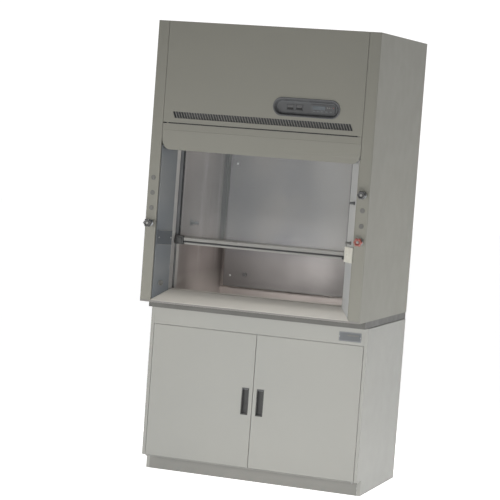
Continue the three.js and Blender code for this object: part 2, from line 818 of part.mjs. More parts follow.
// Pieces on a splayed jamb are made in its own frame: u along it, out square to it, z up.
const jambAngle = Math.atan2(JAMB_BACK - 4, JAMB_IN - 2.6);
const onLeftJamb = (geo, along) =>
  geo
    .rotateZ(jambAngle)
    .translate(
      -POST_X + 2.6 + (JAMB_IN - 2.6) * along,
      FRONT + 3 + (JAMB_BACK - 4) * along,
      0,
    );
const plateBlock = (u0, u1, out0, out1, z0, z1) =>
  new THREE.BoxGeometry(u1 - u0, out1 - out0, z1 - z0).translate(
    (u0 + u1) / 2,
    -(out0 + out1) / 2,
    (z0 + z1) / 2,
  );
put(
  "left_cover_plate",
  onLeftJamb(
    plateBlock(
      -OUTLET.w / 2,
      OUTLET.w / 2,
      0.6,
      3.6,
      OUTLET.z - OUTLET.h / 2,
      OUTLET.z + OUTLET.h / 2,
    ),
    OUTLET.along,
  ),
  FINISH.stainless,
);
put(
  "right_outlet_plate",
  mirrored(
    onLeftJamb(
      cut(
        plateBlock(
          -OUTLET.w / 2,
          OUTLET.w / 2,
          0.6,
          9,
          OUTLET.z - OUTLET.h / 2,
          OUTLET.z + OUTLET.h / 2,
        ),
        ...[-22, 22].flatMap((u) => [
          plateBlock(u - 1.2, u + 1.2, 4, 12, OUTLET.z + 4, OUTLET.z + 12),
          plateBlock(u - 1.2, u + 1.2, 4, 12, OUTLET.z - 12, OUTLET.z - 4),
          plateBlock(u + 6, u + 11, 4, 12, OUTLET.z - 2.5, OUTLET.z + 2.5),
        ]),
      ),
      OUTLET.along,
    ),
  ),
  FINISH.cream,
);
const spout = (along, z) =>
  mirrored(
    onLeftJamb(
      join(
        new THREE.CylinderGeometry(9, 9, 5, 16).translate(0, -3.1, 0),
        new THREE.CylinderGeometry(5.5, 5.5, 24, 12).translate(0, -15, 0),
      ).translate(0, 0, z),
      along,
    ),
  );
put("upper_right_outlet", spout(0.3, 1546), FINISH.dark);
put("lower_right_outlet", spout(0.42, 1340), FINISH.dark);

export default group;
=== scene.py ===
"""Looks for the bench fume hood: procedural finishes, fine detail, light and camera, round the CAD frame."""

import math

import bmesh
import bpy
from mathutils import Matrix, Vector


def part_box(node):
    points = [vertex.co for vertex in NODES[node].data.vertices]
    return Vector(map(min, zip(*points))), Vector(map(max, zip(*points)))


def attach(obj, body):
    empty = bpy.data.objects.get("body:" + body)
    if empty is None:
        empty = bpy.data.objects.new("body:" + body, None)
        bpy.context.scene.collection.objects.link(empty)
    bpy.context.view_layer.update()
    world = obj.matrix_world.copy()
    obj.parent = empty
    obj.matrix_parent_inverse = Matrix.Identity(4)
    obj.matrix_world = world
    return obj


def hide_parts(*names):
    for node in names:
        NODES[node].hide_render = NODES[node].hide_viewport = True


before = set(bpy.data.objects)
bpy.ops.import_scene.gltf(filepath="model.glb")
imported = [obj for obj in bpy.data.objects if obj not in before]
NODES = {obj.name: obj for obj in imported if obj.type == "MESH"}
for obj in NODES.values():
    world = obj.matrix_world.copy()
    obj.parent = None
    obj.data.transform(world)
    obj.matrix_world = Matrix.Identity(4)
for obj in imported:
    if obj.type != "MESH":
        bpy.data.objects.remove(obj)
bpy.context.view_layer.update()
ROOT = "hood_and_cabinet"

# ---- places read from the frame -----------------------------------------------------------------
PANEL_LO, PANEL_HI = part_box("front_panel")
FRONT = PANEL_LO.y  # the hood's front face
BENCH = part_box("work_surface")[1].z
TOP = PANEL_HI.z
HALF_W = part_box("right_side_panel")[1].x
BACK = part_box("back_panel")[1].y
POST_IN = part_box("right_side_panel")[0].x  # inner edge of the right post
WALL_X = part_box("right_liner")[0].x


def centre(node):
    lo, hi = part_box(node)
    return (lo + hi) / 2


# ---- node-based finishes ------------------------------------------------------------------------
class Finish:
    """A Principled material whose colour, roughness and bump come from noise in object space."""

    def __init__(self, name, color, roughness=0.5, metallic=0.0, **plain):
        self.mat = bpy.data.materials.new(name)
        self.mat.use_nodes = True
        self.tree = self.mat.node_tree
        self.bsdf = self.tree.nodes["Principled BSDF"]
        self.set("Base Color", (*color, 1.0))
        self.set("Roughness", roughness)
        self.set("Metallic", metallic)
        for socket, value in plain.items():
            self.set(socket.replace("_", " "), value)
        self.color = (*color, 1.0)
        self.where = self.tree.nodes.new("ShaderNodeTexCoord").outputs["Object"]
        self.height = None

    def set(self, socket, value):
        self.bsdf.inputs[socket].default_value = value

    def link(self, a, b):
        self.tree.links.new(a, b)

    def noise(self, scale, detail=3.0, stretch=(1, 1, 1)):
        mapping = self.tree.nodes.new("ShaderNodeMapping")
        mapping.inputs["Scale"].default_value = stretch
        self.link(self.where, mapping.inputs["Vector"])
        texture = self.tree.nodes.new("ShaderNodeTexNoise")
        texture.inputs["Scale"].default_value = scale
        texture.inputs["Detail"].default_value = detail
        self.link(mapping.outputs["Vector"], texture.inputs["Vector"])
        return texture.outputs[0]

    def remap(self, value, low, high, start=0.3, end=0.7):
        """Stretch the span start to end over low to high."""
        node = self.tree.nodes.new("ShaderNodeMapRange")
        for socket, number in zip(("From Min", "From Max", "To Min", "To Max"), (start, end, low, high)):
            node.inputs[socket].default_value = number
        self.link(value, node.inputs["Value"])
        return node.outputs["Result"]

    def mix(self, factor, a, b):
        """One colour or socket laid over another by factor."""
        node = self.tree.nodes.new("ShaderNodeMix")
        node.data_type = "RGBA"
        self.link(factor, node.inputs["Factor"])
        for socket, value in ((node.inputs[6], a), (node.inputs[7], b)):
            if isinstance(value, bpy.types.NodeSocket):
                self.link(value, socket)
            else:
                socket.default_value = (*value[:3], 1.0)
        return node.outputs[2]

    def tone(self, amount, scale=4.0, detail=4.0, stretch=(1, 1, 1), tint=(1, 1, 1)):
        """Soft light and dark patches over the colour, tinted a little."""
        spread = self.remap(self.noise(scale, detail, stretch), 0.0, 1.0)
        dark = [c * (1 - amount) * t for c, t in zip(self.color, tint)]
        light = [min(1, c * (1 + amount)) for c in self.color[:3]]
        return self.paint(self.mix(spread, dark, light))

    def paint(self, socket):
        """Make a colour socket the base colour, and keep it for over()."""
        self.link(socket, self.bsdf.inputs["Base Color"])
        self.current = socket
        return self

    def over(self, factor, color):
        """Lay a second colour over the present one where factor is high."""
        return self.paint(self.mix(factor, self.current, color))

    def gloss(self, low, high, scale=30.0, detail=3.0, stretch=(1, 1, 1)):
        """Roughness that wanders between low and high."""
        self.link(self.remap(self.noise(scale, detail, stretch), low, high), self.bsdf.inputs["Roughness"])
        return self

    def grain(self, strength, distance, scale, detail=2.0, stretch=(1, 1, 1)):
        """Surface grain as bump, over any grain laid before."""
        bump = self.tree.nodes.new("ShaderNodeBump")
        bump.inputs["Strength"].default_value = strength
        bump.inputs["Distance"].default_value = distance
        self.link(self.noise(scale, detail, stretch), bump.inputs["Height"])
        if self.height is not None:
            self.link(self.height, bump.inputs["Normal"])
        self.height = bump.outputs["Normal"]
        self.link(self.height, self.bsdf.inputs["Normal"])
        return self

    def along(self, axis, low, high):
        """0 at low and 1 at high, along one axis of the shared frame."""
        split = self.tree.nodes.new("ShaderNodeSeparateXYZ")
        self.link(self.where, split.inputs[0])
        return self.remap(split.outputs[axis], 0.0, 1.0, low, high)


def powder_coat(name, color):
    """Satin powder coat: orange-peel skin, faint patches of tone, a few darker scuffs."""
    f = Finish(name, color, 0.46, Specular_IOR_Level=0.35)
    f.tone(0.016, 1.6, 5.0, tint=(0.99, 1.0, 1.01))
    f.over(f.remap(f.noise(26, 6, (1, 1, 0.35)), 0.0, 0.05, 0.62, 0.8), [c * 0.8 for c in color])
    f.gloss(0.44, 0.50, 12)
    f.grain(0.08, 0.0006, 420, 2.0)
    f.grain(0.015, 0.004, 3, 1.0)
    return f


def stainless(name, color, tint, blotch=0.16, brush=(1.2, 1.2, 90), rough=(0.42, 0.58), metallic=0.85):
    """Brushed stainless sheet: fine lines across, broad soft blotches, smudges in the gloss."""
    f = Finish(name, color, 0.34, metallic)
    f.tone(blotch, 2.4, 3.0, tint=tint)
    f.over(f.remap(f.noise(7, 5), 0.0, 0.35, 0.55, 0.8), [c * t * 0.85 for c, t in zip(color, tint)])
    f.gloss(*rough, 6, 5.0)
    f.grain(0.10, 0.0004, 9, 4.0, brush)
    f.grain(0.05, 0.006, 3, 1.0)
    return f


def moulded(name, color, rough=0.42, grain=0.12, scale=900):
    """Moulded plastic with a fine eggshell grain and handling shine."""
    f = Finish(name, color, rough)
    f.tone(0.10, 18, 3.0)
    f.gloss(rough - 0.08, rough + 0.1, 60)
    f.grain(grain, 0.0003, scale, 2.0)
    return f


def clear_sheet(name, color, alpha, rough=0.03):
    """Clear sheet with faint wipe marks in its gloss."""
    f = Finish(name, color, rough, Alpha=alpha, IOR=1.5, Specular_IOR_Level=0.6)
    f.tone(0.05, 3, 4.0)
    f.gloss(rough, rough + 0.09, 5, 6.0, (1, 1, 0.4))
    return f


# The hood's paint is darker than the cabinet's, partly as its own colour and partly as painted shade for the
# light falling off towards the top.
SHELL = powder_coat("hood_paint", (0.212, 0.207, 0.177))
CABINET = powder_coat("cabinet_paint", (0.288, 0.286, 0.265))
# Painted shade: the plinth is the cabinet's paint made darker, standing in for the shadow under the overhanging
# doors.
PLINTH_SHADED = powder_coat("plinth_paint_shaded", (0.195, 0.192, 0.178))
LINER = stainless("liner_stainless", (0.212, 0.187, 0.177), (0.90, 0.86, 0.90), metallic=0.5)
LINER.over(LINER.remap(LINER.noise(3.0, 2.0, (0.1, 5, 0.12)), 0.0, 0.6, 0.55, 0.72), (0.32, 0.305, 0.295))
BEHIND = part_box("lower_baffle")[0].y  # the baffle plane, with the slots in shade behind it
# Painted shade: the liner goes dark behind the baffle plane, where the slots lie in shadow.
LINER.over(LINER.along("Y", BEHIND + 0.003, BEHIND + 0.010), (0.046, 0.042, 0.038))
# Painted light: the liner grows lighter towards the bench as a painted reflection of the pale worktop, and
# lighter again just above the bench.
LINER.over(LINER.along("Z", BENCH + 0.46, BENCH + 0.06), (0.33, 0.295, 0.278))
LINER.over(LINER.along("Z", BENCH + 0.15, BENCH + 0.03), (0.52, 0.475, 0.45))
BAFFLE = stainless(
    "baffle_stainless", (0.160, 0.153, 0.148), (0.76, 0.82, 1.0), 0.26, (90, 1.2, 1.2), metallic=0.65
)
# Painted highlight: the baffle grows lighter towards the right, held back to its plain colour low down near the
# bench.
BAFFLE.over(BAFFLE.along("X", -0.08, 0.34), (0.238, 0.231, 0.221))
BAFFLE.over(BAFFLE.along("Z", BENCH + 0.34, BENCH + 0.20), (0.155, 0.148, 0.145))
JAMB = stainless("jamb_stainless", (0.20, 0.205, 0.204), (0.80, 0.88, 1.0), 0.14, rough=(0.3, 0.42))
# Lit and shaded copies of the jamb stainless: the cover plate's copy is darker as painted shade, the right
# jamb's copy pale as painted light.
JAMB_SHADED = stainless("cover_plate_shaded", (0.125, 0.130, 0.132), (0.80, 0.88, 1.0), 0.14, rough=(0.3, 0.42))
JAMB_LIT = stainless("jamb_stainless_lit", (0.43, 0.425, 0.405), (0.92, 0.95, 1.0), 0.08, metallic=0.15)
TRACK = stainless("track_alloy", (0.46, 0.45, 0.43), (0.92, 0.94, 0.98), 0.06, metallic=0.4)
STEEL = stainless("plain_steel", (0.27, 0.274, 0.278), (0.9, 0.95, 1.0), 0.10, (1, 1, 1), (0.3, 0.5))
SILL = powder_coat("sill_coat", (0.51, 0.487, 0.443))
SILL.set("Specular IOR Level", 0.22)
RAIL = Finish("handle_alloy", (0.225, 0.221, 0.208), 0.42, 0.30)
RAIL.tone(0.06, 5, 3.0).gloss(0.24, 0.4, 8, 3.0, (0.2, 1, 1)).grain(0.08, 0.0003, 12, 3.0, (1, 90, 90))
FRAME_DARK = Finish("sash_anodised", (0.175, 0.179, 0.185), 0.4, 0.5)
FRAME_DARK.tone(0.12, 9, 3.0).gloss(0.32, 0.5, 20).grain(0.08, 0.0003, 14, 3.0, (1, 1, 70))
WORKTOP = Finish("epoxy_resin", (0.082, 0.081, 0.075), 0.55)
WORKTOP.tone(0.18, 6, 4.0)
WORKTOP.over(WORKTOP.remap(WORKTOP.noise(520, 2), 0.0, 0.5, 0.62, 0.72), (0.12, 0.12, 0.11))
# Painted light: the worktop's top face is made lighter than its dark edges, as the light falls on it.
WORKTOP.over(WORKTOP.along("Z", BENCH - 0.0016, BENCH - 0.0006), (0.190, 0.182, 0.172))
WORKTOP.gloss(0.42, 0.62, 14).grain(0.15, 0.0005, 300)
CHARCOAL = moulded("charcoal_trim", (0.080, 0.082, 0.084), 0.42)
TRIM = moulded("trim_grey", (0.13, 0.135, 0.14), 0.38)
GRILLE = moulded("grille_grey", (0.20, 0.197, 0.183), 0.45)
PULL = moulded("pull_plastic", (0.034, 0.034, 0.033), 0.50)
BLACK = moulded("knob_black", (0.072, 0.072, 0.072), 0.36, 0.06)
RED = moulded("knob_red", (0.265, 0.082, 0.066), 0.40, 0.06)
INDEX = moulded("index_cap", (0.26, 0.256, 0.245), 0.42, 0.05)
CREAM = moulded("outlet_cream", (0.60, 0.585, 0.52), 0.4, 0.05)
PLUG = moulded("plug_grey", (0.125, 0.124, 0.115), 0.5, 0.1)
SEAL = moulded("track_seal", (0.150, 0.151, 0.149), 0.6, 0.2, 500)
RUBBER = moulded("gasket_rubber", (0.018, 0.018, 0.019), 0.65, 0.2, 500)
ZINC = stainless("zinc_screw", (0.46, 0.46, 0.45), (0.95, 0.97, 1.0), 0.12, (40, 40, 40), (0.28, 0.45))
DISPLAY = Finish("display_window", (0.10, 0.115, 0.125), 0.15)
DISPLAY.tone(0.15, 30, 2.0).grain(0.03, 0.0002, 900)
PLATE_DARK = moulded("nameplate_blank", (0.150, 0.158, 0.165), 0.4)
FIELD = moulded("nameplate_field", (0.100, 0.106, 0.112), 0.42)
LAMP = Finish("lamp_tube", (0.9, 0.9, 0.87), 0.4, Emission_Color=(1.0, 0.97, 0.9, 1.0), Emission_Strength=1.2)
LAMP.tone(0.03, 20, 2.0)
LAMP.grain(0.03, 0.0002, 200)
GLASS = clear_sheet("sash_glass_clear", (0.50, 0.53, 0.53), 0.10)
DIFFUSER = clear_sheet("lamp_cover_clear", (0.9, 0.9, 0.88), 0.45, 0.25)

CAD_FINISH = {
    SHELL: "left_side_panel right_side_panel back_panel roof_panel front_panel header_apron lamp_housing",
    CABINET: "cabinet_left_side cabinet_right_side cabinet_back cabinet_floor cabinet_top_rail"
    " cabinet_rear_rail cabinet_shelf left_door right_door",
    PLINTH_SHADED: "cabinet_plinth",
    LINER: "left_liner right_liner back_liner chamber_roof",
    TRACK: "left_track right_track",
    BAFFLE: "lower_baffle upper_baffle",
    JAMB: "left_jamb",
    JAMB_SHADED: "left_cover_plate",
    JAMB_LIT: "right_jamb",
    STEEL: "left_pivot_lower right_pivot_lower left_pivot_upper right_pivot_upper exhaust_collar"
    " counterweight left_valve upper_right_valve lower_right_valve",
    SILL: "airfoil_sill",
    RAIL: "sash_handle",
    FRAME_DARK: "sash_frame",
    GLASS: "sash_glass",
    DIFFUSER: "lamp_cover",
    LAMP: "lamp_tube",
    WORKTOP: "work_surface",
    GRILLE: "bypass_grille",
    CHARCOAL: "control_bezel airflow_monitor left_nozzle upper_right_outlet",
    PLUG: "lower_right_outlet",
    PULL: "left_door_pull right_door_pull",
    PLATE_DARK: "nameplate_blank",
    BLACK: "left_knob upper_right_knob baffle_knob blower_switch light_switch",
    RED: "lower_right_knob",
    CREAM: "right_outlet_plate",
}
for finish, names in CAD_FINISH.items():
    for name in names.split():
        NODES[name].data.materials.clear()
        NODES[name].data.materials.append(finish.mat)


SHARP_EDGE = math.radians(38)  # edges sharper than this are bevelled and stay sharp
SEAT = 0.0004  # how far a screw head sits into its sheet
SCREW_HIGH = 0.0022
CORNERS = ((1, 1), (-1, 1), (-1, -1), (1, -1))


def soften(names, width, segments=2):
    """Round the folded and cut edges of CAD pieces with modifiers only."""
    for name in names.split():
        node = NODES[name]
        weld = node.modifiers.new("weld", "WELD")
        weld.merge_threshold = 0.00002
        bevel = node.modifiers.new("edges", "BEVEL")
        bevel.width = width
        bevel.segments = segments
        bevel.limit_method = "ANGLE"
        bevel.angle_limit = SHARP_EDGE
        bevel.use_clamp_overlap = True


soften("left_door right_door cabinet_left_side cabinet_right_side work_surface", 0.0016, 3)
soften("cabinet_top_rail left_door_pull right_door_pull sash_handle counterweight", 0.0010)
soften("airflow_monitor right_outlet_plate left_cover_plate nameplate_blank blower_switch light_switch", 0.0006)
soften("header_apron roof_panel back_panel airfoil_sill cabinet_plinth cabinet_shelf cabinet_back", 0.0006)


# ---- mesh tools ---------------------------------------------------------------------------------
def piece(name, bm, finish, body, smooth=True, bevel=0.0):
    """Turn a bmesh into a finished piece that rides on a body."""
    mesh = bpy.data.meshes.new(name)
    bmesh.ops.recalc_face_normals(bm, faces=bm.faces)
    bm.to_mesh(mesh)
    bm.free()
    obj = bpy.data.objects.new(name, mesh)
    bpy.context.scene.collection.objects.link(obj)
    mesh.materials.append(finish.mat)
    if bevel:
        mod = obj.modifiers.new("edges", "BEVEL")
        mod.width = bevel
        mod.segments = 2
        mod.limit_method = "ANGLE"
        mod.angle_limit = SHARP_EDGE
    if smooth:
        for poly in mesh.polygons:
            poly.use_smooth = True
        mesh.set_sharp_from_angle(angle=SHARP_EDGE)
    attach(obj, body)
    return obj


def rings(bm, loops, close_ends=True):
    """Skin a stack of equal-length point loops."""
    made = [[bm.verts.new(p) for p in loop] for loop in loops]
    n = len(made[0])
    for a, b in zip(made, made[1:]):
        for i in range(n):
            bm.faces.new((a[i], a[(i + 1) % n], b[(i + 1) % n], b[i]))
    if close_ends:
        bm.faces.new(made[0][::-1])
        bm.faces.new(made[-1])


def circle(n):
    """n angles round a full turn."""
    return [2 * math.pi * i / n for i in range(n)]


def turned(bm, base, axis, profile, n=24):
    """A turned solid: profile is (radius, distance along axis), closed at both ends."""
    axis = Vector(axis).normalized()
    u = axis.orthogonal().normalized()
    v = axis.cross(u)
    loops = []
    for radius, h in profile:
        r = max(radius, 0.00005)
        foot = Vector(base) + axis * h
        loops.append([foot + (u * math.cos(t) + v * math.sin(t)) * r for t in circle(n)])
    rings(bm, loops)


def slab(bm, lo, hi):
    """A box from corner to corner."""
    for vert in bmesh.ops.create_cube(bm, size=1.0)["verts"]:
        vert.co = Vector([lo[k] + (vert.co[k] + 0.5) * (hi[k] - lo[k]) for k in range(3)])


def screw(bm, base, axis, r):
    """A pan-head screw with a raised cross."""
    axis = Vector(axis).normalized()
    base = Vector(base) - axis * SEAT
    dome = [(r, 0), (r, SCREW_HIGH * 0.4), (r * 0.86, SCREW_HIGH * 0.8), (r * 0.55, SCREW_HIGH)]
    turned(bm, base, axis, dome, 16)
    u = axis.orthogonal().normalized()
    v = axis.cross(u)
    for a, b in ((u, v), (v, u)):
        loops = []
        for h in (SCREW_HIGH * 0.9, SCREW_HIGH * 1.12):
            c = base + axis * h
            loops.append([c + a * s * r * 0.5 + b * t * r * 0.1 for s, t in CORNERS])
        rings(bm, loops)


def screws(name, places, axis, r):
    """One piece that holds a row of screws on the fixed body."""
    bm = bmesh.new()
    for place in places:
        screw(bm, place, axis, r)
    piece(name, bm, ZINC, ROOT)


def span(a, b, n):
    """n even steps from a to b."""
    return [a + (b - a) * i / (n - 1) for i in range(n)]


# ---- valve knobs: lobed grips with a skirt and an index cap --------------------------------------
KNOB_LOBES = 6
KNOB_POINTS = 96
ROSETTE = [(0.0175, 0), (0.0180, 0.0012), (0.0150, 0.0035), (0.0105, 0.0050), (0.0098, 0.0140)]
# Share of the depth from the skirt to the face, share of the radius, and height of the lobes.
GRIP_LEVELS = [
    (0.00, 0.62, 0.00),
    (0.06, 0.70, 0.00),
    (0.16, 0.72, 0.02),
    (0.26, 0.84, 0.07),
    (0.38, 0.91, 0.09),
    (0.80, 0.91, 0.09),
    (0.90, 0.87, 0.085),
    (0.97, 0.79, 0.06),
    (0.985, 0.66, 0.03),
    (0.90, 0.54, 0.0),
    (0.84, 0.44, 0.0),
    (0.84, 0.36, 0.0),
]


def knob(name, node, body, finish):
    lo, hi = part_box(node)
    c = (lo + hi) / 2
    big = (hi.x - lo.x) / 2
    deep = hi.y - lo.y
    bm = bmesh.new()
    loops = []
    for depth, reach, lobe in GRIP_LEVELS:
        y = hi.y - deep * depth
        loop = []
        for t in circle(KNOB_POINTS):
            r = big * (reach + lobe * math.cos(KNOB_LOBES * t))
            loop.append((c.x + r * math.cos(t), y, c.z + r * math.sin(t)))
        loops.append(loop)
    rings(bm, loops)
    grip = piece(name + "_grip", bm, finish, body)
    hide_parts(node)
    bm = bmesh.new()
    face = (c.x, hi.y - deep * 0.80, c.z)
    cap = [(big * 0.30, 0), (big * 0.31, deep * 0.10), (big * 0.26, deep * 0.15), (0.0, deep * 0.165)]
    turned(bm, face, (0, -1, 0), cap, 32)
    piece(name + "_index", bm, INDEX, body)
    bm = bmesh.new()
    turned(bm, (c.x, FRONT - 0.0035, c.z), (0, -1, 0), ROSETTE, 32)
    piece(name + "_rosette", bm, STEEL, ROOT)


knob("left_service", "left_knob", "left_valve_knob", BLACK)
knob("upper_right_service", "upper_right_knob", "upper_right_valve_knob", BLACK)
knob("lower_right_service", "lower_right_knob", "lower_right_valve_knob", RED)

# ---- blank plugs in the unused service holes -----------------------------------------------------
POST_C = (HALF_W + POST_IN) / 2
STEP_Z = (centre("upper_right_valve").z - centre("lower_right_valve").z) / 3
LOW_Z = centre("lower_right_valve").z
PLUG_DISH = [(0.0128, 0), (0.0130, 0.0008), (0.0122, 0.0019), (0.0085, 0.0022), (0.0078, 0.0015), (0.0, 0.0014)]
for side, word, rows in ((-1, "left", (1, 2, 3)), (1, "right", (1, 2))):
    for row in rows:
        bm = bmesh.new()
        turned(bm, (side * POST_C, FRONT + 0.0003, LOW_Z + row * STEP_Z), (0, -1, 0), PLUG_DISH, 32)
        piece(f"hole_plug_{word}_{row}", bm, PLUG, ROOT)

# ---- control recess ------------------------------------------------------------------------------
bez_lo, bez_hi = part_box("control_bezel")
bez_c = (bez_lo + bez_hi) / 2


def pill_loop(y, grow, n=20):
    """The bezel's round-ended outline at depth y, grown by a little or shrunk."""
    r = (bez_hi.z - bez_lo.z) / 2 + grow
    half = (bez_hi.x - bez_lo.x) / 2 - (bez_hi.z - bez_lo.z) / 2
    loop = []
    for side in (1, -1):
        for i in range(n + 1):
            t = -math.pi / 2 + (0 if side > 0 else math.pi) + math.pi * i / n
            loop.append((bez_c.x + side * half + r * math.cos(t), y, bez_c.z + r * math.sin(t)))
    return loop


bm = bmesh.new()
rim = [(0.0, 0.0036), (-0.0024, 0.0034), (-0.0034, 0.0012)]
rim += [(-0.0032, -0.0014), (-0.0016, -0.0034), (0.0, -0.0036)]
rings(bm, [pill_loop(FRONT + y - 0.0002, grow - 0.0006) for y, grow in rim], False)
piece("control_rim", bm, CHARCOAL, ROOT)
floor_y = FRONT + 0.016  # floor of the recess
bm = bmesh.new()
inner_bead = [(0.0002, 0.0152), (0.0026, 0.0150), (0.0030, 0.0162), (0.0012, 0.0186), (0.0002, 0.0190)]
rings(bm, [pill_loop(floor_y - rise, -inset) for rise, inset in inner_bead], False)
piece("control_inner_bead", bm, TRIM, ROOT)
mon_lo, mon_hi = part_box("airflow_monitor")
bm = bmesh.new()
window_lo = (mon_lo.x + 0.010, mon_lo.y - 0.0012, mon_lo.z + 0.016)
slab(bm, window_lo, (mon_lo.x + 0.078, mon_lo.y + 0.001, mon_hi.z - 0.006))
piece("airflow_display", bm, DISPLAY, ROOT, bevel=0.0008)
for i, finish in enumerate((INDEX, INDEX, TRIM, RED)):
    bm = bmesh.new()
    base = (mon_lo.x + 0.090 + 0.0105 * i, mon_lo.y, mon_hi.z - 0.012)
    turned(bm, base, (0, -1, 0), [(0.0030, 0), (0.0031, 0.0010), (0.0022, 0.0022), (0.0, 0.0026)], 16)
    piece(f"status_lamp_{i + 1}", bm, finish, ROOT)
bm = bmesh.new()
for i in range(5):
    x = mon_lo.x + 0.012 + 0.0225 * i
    slab(bm, (x, mon_lo.y - 0.0016, mon_lo.z + 0.005), (x + 0.014, mon_lo.y + 0.001, mon_lo.z + 0.012))
piece("monitor_keys", bm, TRIM, ROOT, bevel=0.0008)
for node in ("blower_switch", "light_switch"):
    lo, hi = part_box(node)
    bm = bmesh.new()
    for x0, x1, z0, z1 in (
        (lo.x - 0.0045, hi.x + 0.0045, hi.z + 0.0025, hi.z + 0.0055),
        (lo.x - 0.0045, hi.x + 0.0045, lo.z - 0.0055, lo.z - 0.0025),
        (lo.x - 0.0045, lo.x - 0.0012, lo.z - 0.0055, hi.z + 0.0055),
        (hi.x + 0.0012, hi.x + 0.0045, lo.z - 0.0055, hi.z + 0.0055),
    ):
        slab(bm, (x0, floor_y - 0.0022, z0), (x1, floor_y + 0.0006, z1))
    piece(node + "_frame", bm, CHARCOAL, ROOT)

# A bypass duct behind the grille, so that the slots look into a dark space.
gr_lo, gr_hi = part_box("bypass_grille")
bm = bmesh.new()
DUCT_T = 0.0012
near, far = gr_hi.y + 0.001, gr_hi.y + 0.062
high, low = gr_hi.z + 0.0035, gr_lo.z - 0.012
bend = [(near, high), (far, high), (far, low)]
bend += [(far + DUCT_T, low), (far + DUCT_T, high + DUCT_T), (near, high + DUCT_T)]
reach = WALL_X - 0.006
rings(bm, [[(x, y, z) for y, z in bend] for x in (-reach, reach)])
piece("bypass_duct", bm, CHARCOAL, ROOT, smooth=False)

# A dark strip closes the view through the gap between the front panel and the apron, as painted shade in the
# gap.
ap_lo, ap_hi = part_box("header_apron")
bm = bmesh.new()
strip_lo = (ap_lo.x + 0.036, FRONT + 0.0026, ap_hi.z - 0.007)
slab(bm, strip_lo, (ap_hi.x - 0.024, FRONT + 0.0042, ap_hi.z + 0.0140))
piece("reveal_shade_strip", bm, RUBBER, ROOT, bevel=0.0004)

# The pressed crease across the apron, as a low rolled bead.
bm = bmesh.new()
crease = ap_hi.z - 0.0425
bulge = [(FRONT + 0.0004 - 0.0012 * math.sin(t), crease + 0.0022 * math.cos(t)) for t in span(0, math.pi, 9)]
rings(bm, [[(x, y, z) for y, z in bulge] for x in (ap_lo.x + 0.004, ap_hi.x - 0.004)])
piece("apron_bead", bm, SHELL, ROOT)

# ---- sash: latch, glass beading and handle caps --------------------------------------------------
han_lo, han_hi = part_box("sash_handle")
bm = bmesh.new()
for side in (-1, 1):
    x0, x1 = sorted((side * (han_hi.x - 0.0003), side * (han_hi.x - 0.0067)))
    slab(bm, (x0, han_lo.y - 0.0014, han_lo.z - 0.0004), (x1, han_hi.y + 0.0008, han_hi.z + 0.0012))
piece("handle_end_caps", bm, RUBBER, "sash", bevel=0.0012)
bm = bmesh.new()
groove_lo = (han_lo.x + 0.046, han_lo.y - 0.0006, han_lo.z + 0.0106)
slab(bm, groove_lo, (han_hi.x - 0.0068, han_lo.y + 0.006, han_lo.z + 0.0190))
piece("handle_groove_inlay", bm, RUBBER, "sash", bevel=0.0003)
bm = bmesh.new()
x0 = han_lo.x + 0.004
slab(bm, (x0, han_lo.y - 0.0060, han_lo.z - 0.0008), (x0 + 0.046, han_lo.y + 0.012, han_hi.z + 0.0035))
slab(bm, (x0 + 0.008, han_lo.y - 0.0095, han_lo.z + 0.010), (x0 + 0.038, han_lo.y - 0.0050, han_hi.z - 0.006))
piece("sash_latch", bm, PULL, "sash", bevel=0.0022)
bm = bmesh.new()
peg_lo = (han_hi.x - 0.024, han_lo.y - 0.0052, han_lo.z + 0.0003)
slab(bm, peg_lo, (han_hi.x - 0.012, han_lo.y + 0.004, han_lo.z + 0.014))
piece("sash_stop_peg", bm, RUBBER, "sash", bevel=0.0012)
frame_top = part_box("sash_frame")[1].z
gl_lo, gl_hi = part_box("sash_glass")
BEAD_W = 0.005
inner = WALL_X - 0.014
bm = bmesh.new()
for y0, y1 in ((gl_lo.y - 0.0045, gl_lo.y - 0.0004), (gl_hi.y + 0.0004, gl_hi.y + 0.0045)):
    for side in (-1, 1):
        x0, x1 = sorted((side * inner, side * (inner - BEAD_W)))
        slab(bm, (x0, y0, han_hi.z), (x1, y1, frame_top - 0.024))
piece("glass_gasket", bm, RUBBER, "sash", bevel=0.0008)

# ---- small hardware ------------------------------------------------------------------------------
sill_lo, sill_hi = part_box("airfoil_sill")
for side, word in ((-1, "left"), (1, "right")):
    wall = side * (WALL_X - 0.0001)
    rows = span(sill_hi.z + 0.05, TOP - 0.12, 7)
    places = [(wall, y, z) for y in (FRONT + 0.110, FRONT + 0.185) for z in rows]
    screws(f"track_screws_{word}", places, (-side, 0, 0), r=0.0036)
    bm = bmesh.new()
    for y in (FRONT + 0.1338, FRONT + 0.1642):
        x0, x1 = sorted((side * (WALL_X + 0.001), side * (WALL_X + 0.012)))
        slab(bm, (x0, y, sill_hi.z + 0.002), (x1, y + 0.0030, TOP - 0.004))
    piece(f"track_gasket_{word}", bm, SEAL, ROOT)
baf_lo, baf_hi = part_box("lower_baffle")
places = [(x, baf_lo.y, z) for x in (-0.4, 0.4) for z in (baf_lo.z + 0.06, baf_hi.z - 0.08)]
screws("baffle_screws", places, (0, -1, 0), r=0.006)
bm = bmesh.new()
for side in (-1, 1):
    x0, x1 = sorted((side * baf_hi.x, side * (baf_hi.x - 0.0018)))
    slab(bm, (x0, baf_lo.y + 0.0021, baf_lo.z), (x1, baf_lo.y + 0.018, baf_hi.z))
slab(bm, (baf_lo.x, baf_lo.y + 0.0021, baf_lo.z), (baf_hi.x, baf_lo.y + 0.016, baf_lo.z + 0.0018))
slab(bm, (baf_lo.x, baf_lo.y - 0.0012, baf_lo.z + 0.0300), (baf_hi.x, baf_lo.y + 0.0004, baf_lo.z + 0.0316))
piece("baffle_hems", bm, BAFFLE, ROOT)
FLUTES = 12
